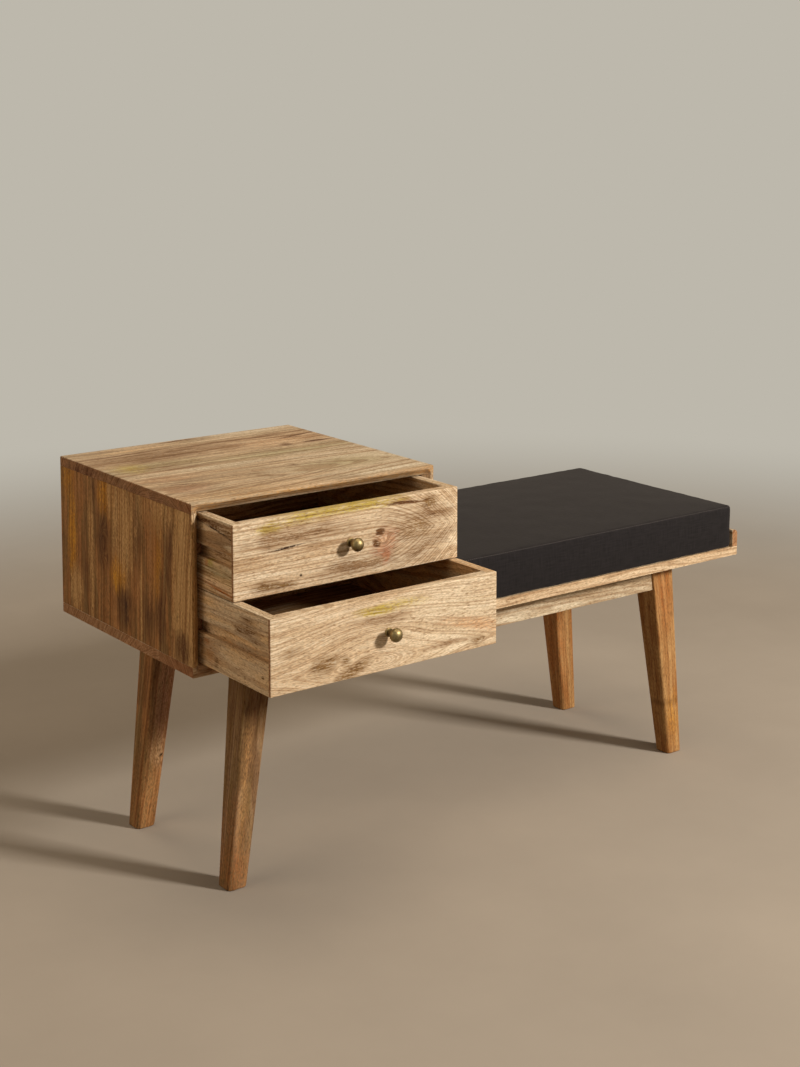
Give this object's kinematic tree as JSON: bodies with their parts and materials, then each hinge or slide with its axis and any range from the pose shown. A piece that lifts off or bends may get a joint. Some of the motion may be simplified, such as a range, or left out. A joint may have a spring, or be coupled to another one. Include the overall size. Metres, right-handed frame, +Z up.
{
  "type": "telephone bench",
  "caption": "Low wooden bench with a cushioned seat beside a small cabinet of pull-out drawers, on splayed tapered legs.",
  "frame": {"origin": "on the floor, under the centre of the bounding box of the bench with its drawers as pulled out", "axes": "+X along the bench from the cabinet to the seat's end, -Y the front that the drawers open towards, +Z up"},
  "size_m": [1.1, 0.5964, 0.6],
  "materials": {
    "mango_pale": "clear matt finish",
    "mango_top": "clear matt finish",
    "mango_dark": "clear matt finish",
    "leg_brown": "clear matt finish",
    "leg_orange": "clear matt finish",
    "drawer_wood": "clear matt finish",
    "plywood": "plain veneer",
    "frame_wood": "plain sanded",
    "dowel_wood": "plain sanded",
    "zinc": "bright zinc plate",
    "antique_brass": "dark patina, rubbed",
    "charcoal_cloth": "plain weave",
    "foam": "cut foam"
  },
  "bodies": {
    "frame": {"seat_board": "mango_pale", "end_lip": "mango_pale", "cabinet_top": "mango_top", "cabinet_side_left": "mango_dark", "cabinet_side_right": "mango_dark", "cabinet_back": "plywood", "runner_lower_left": "frame_wood", "runner_lower_right": "frame_wood", "runner_upper_left": "frame_wood", "runner_upper_right": "frame_wood", "front_rail": "frame_wood", "back_rail": "frame_wood", "left_rail": "frame_wood", "right_rail": "frame_wood", "block_front_left": "frame_wood", "block_front_right": "frame_wood", "block_back_left": "frame_wood", "block_back_right": "frame_wood", "leg_front_left": "leg_brown", "leg_back_left": "leg_brown", "leg_front_right": "leg_orange", "leg_back_right": "leg_orange", "leg_bolts": "zinc", "leg_washers": "zinc", "leg_nuts": "zinc", "rail_screws": "zinc", "runner_screws": "zinc", "lip_screws": "zinc", "back_screws": "zinc", "rail_dowels": "dowel_wood", "cabinet_dowels": "dowel_wood"},
    "lower_drawer": {"lower_front": "mango_pale", "lower_side_left": "drawer_wood", "lower_side_right": "drawer_wood", "lower_rear": "drawer_wood", "lower_floor": "plywood", "lower_knob": "antique_brass", "lower_knob_screw": "zinc"},
    "upper_drawer": {"upper_front": "mango_pale", "upper_side_left": "drawer_wood", "upper_side_right": "drawer_wood", "upper_rear": "drawer_wood", "upper_floor": "plywood", "upper_knob": "antique_brass", "upper_knob_screw": "zinc"},
    "seat_cushion": {"cushion_cover": "charcoal_cloth", "cushion_foam": "foam"}
  },
  "joints": [
    {"name": "lower_drawer_slide", "type": "slide", "parent": "frame", "child": "lower_drawer", "axis": [0, -1, 0], "range_m": [-0.182, 0.068]},
    {"name": "upper_drawer_slide", "type": "slide", "parent": "frame", "child": "upper_drawer", "axis": [0, -1, 0], "range_m": [-0.091, 0.159]},
    {"name": "cushion_lift", "type": "slide", "parent": "frame", "child": "seat_cushion", "axis": [0, 0, 1], "range_m": [0, 0.2]}
  ]
}
